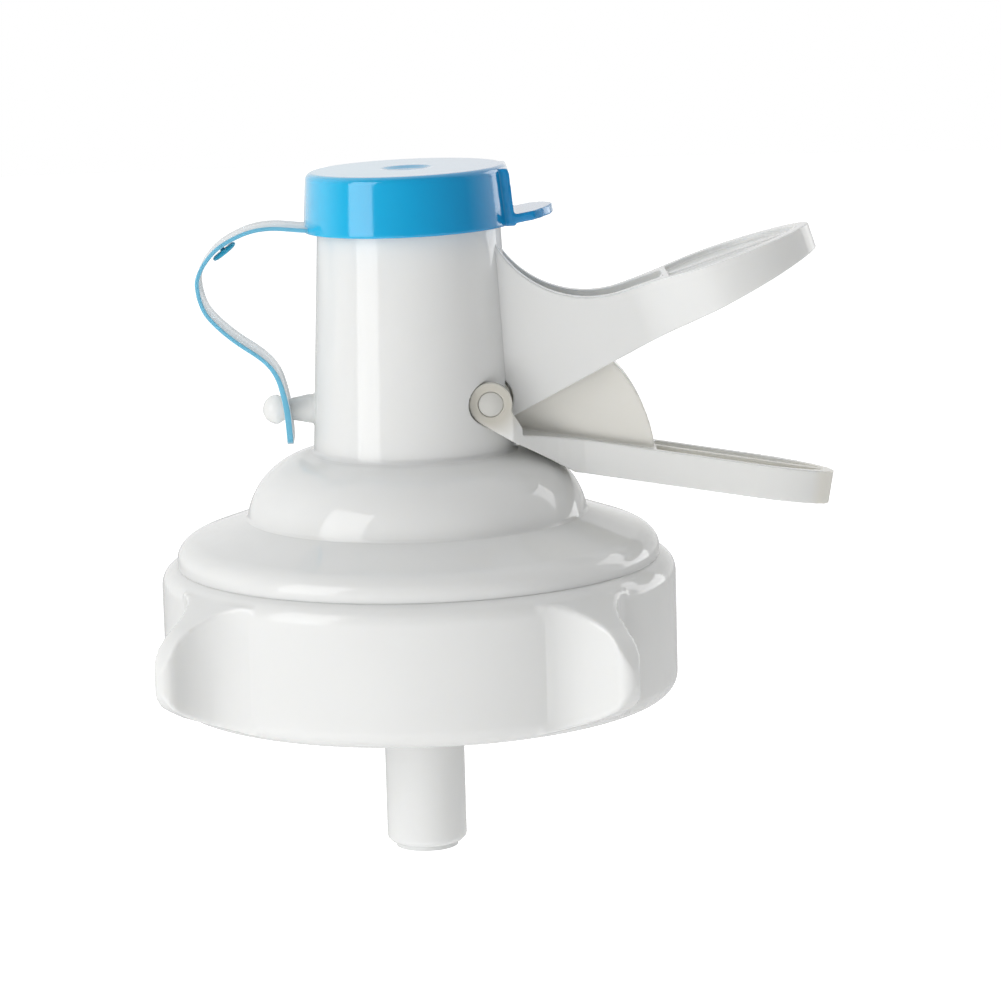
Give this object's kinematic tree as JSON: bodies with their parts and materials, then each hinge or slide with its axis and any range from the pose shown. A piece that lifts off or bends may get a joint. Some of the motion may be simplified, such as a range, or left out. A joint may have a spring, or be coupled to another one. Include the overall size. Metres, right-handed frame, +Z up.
{
  "type": "water jug spigot",
  "caption": "Pour spigot for a drinking water jug: a screw collar, a domed spout with a squeeze lever that opens a spring valve, and a tethered cap.",
  "frame": {"origin": "centre of the collar's lower rim, on the spout's axis", "axes": "+Z up the spout towards the mouth, +X towards the fixed handle and the squeeze lever"},
  "size_m": [0.084, 0.064, 0.0855],
  "materials": {
    "white_plastic": "smooth glossy moulded polypropylene, slightly translucent",
    "inner_plastic": "satin moulded plastic",
    "cap_blue": "glossy soft blue plastic",
    "strap_blue": "thin translucent soft blue plastic",
    "silicone": "soft milky silicone",
    "steel": "plain stainless steel"
  },
  "bodies": {
    "spout": {"spout_body": "white_plastic", "pivot_pin": "white_plastic", "valve_cage": "inner_plastic", "spring_washer": "steel", "return_spring": "steel", "clamp_ring": "inner_plastic", "neck_gasket": "silicone"},
    "lever": {"squeeze_lever": "white_plastic"},
    "stem": {"valve_stem": "white_plastic", "stem_crosshead": "inner_plastic", "stem_clip": "steel", "valve_disc": "inner_plastic", "valve_seal": "silicone", "seal_retainer": "inner_plastic", "stem_o_ring": "silicone", "vent_end_plug": "inner_plastic"},
    "cap": {"dust_cap": "cap_blue", "tether_strap": "strap_blue"},
    "collar": {"collar_nut": "white_plastic"},
    "vent_ball": {"vent_ball": "steel"}
  },
  "joints": [
    {"name": "lever_hinge", "type": "hinge", "parent": "spout", "child": "lever", "pos_m": [0.00933, 0, 0.0376], "axis": [0, -1, 0], "range_deg": [0, 34], "stiffness_Nm_per_rad": 0.1, "springref_deg": -28.65},
    {"name": "stem_slide", "type": "slide", "parent": "spout", "child": "stem", "axis": [0, 0, 1], "range_m": [-0.0056, 0], "deforming": ["return_spring"]},
    {"name": "cap_lift", "type": "slide", "parent": "spout", "child": "cap", "axis": [0, 0, 1], "range_m": [0, 0.012], "deforming": ["tether_strap"]},
    {"name": "collar_turn", "type": "hinge", "parent": "spout", "child": "collar", "pos_m": [0, 0, 0], "axis": [0, 0, 1], "continuous": true},
    {"name": "vent_ball_slide", "type": "slide", "parent": "stem", "child": "vent_ball", "axis": [0, 0, 1], "range_m": [0, 0.0039]}
  ],
  "couplings": [
    {"joint": "stem_slide", "follows": "lever_hinge", "m_per_rad": -0.00918}
  ]
}
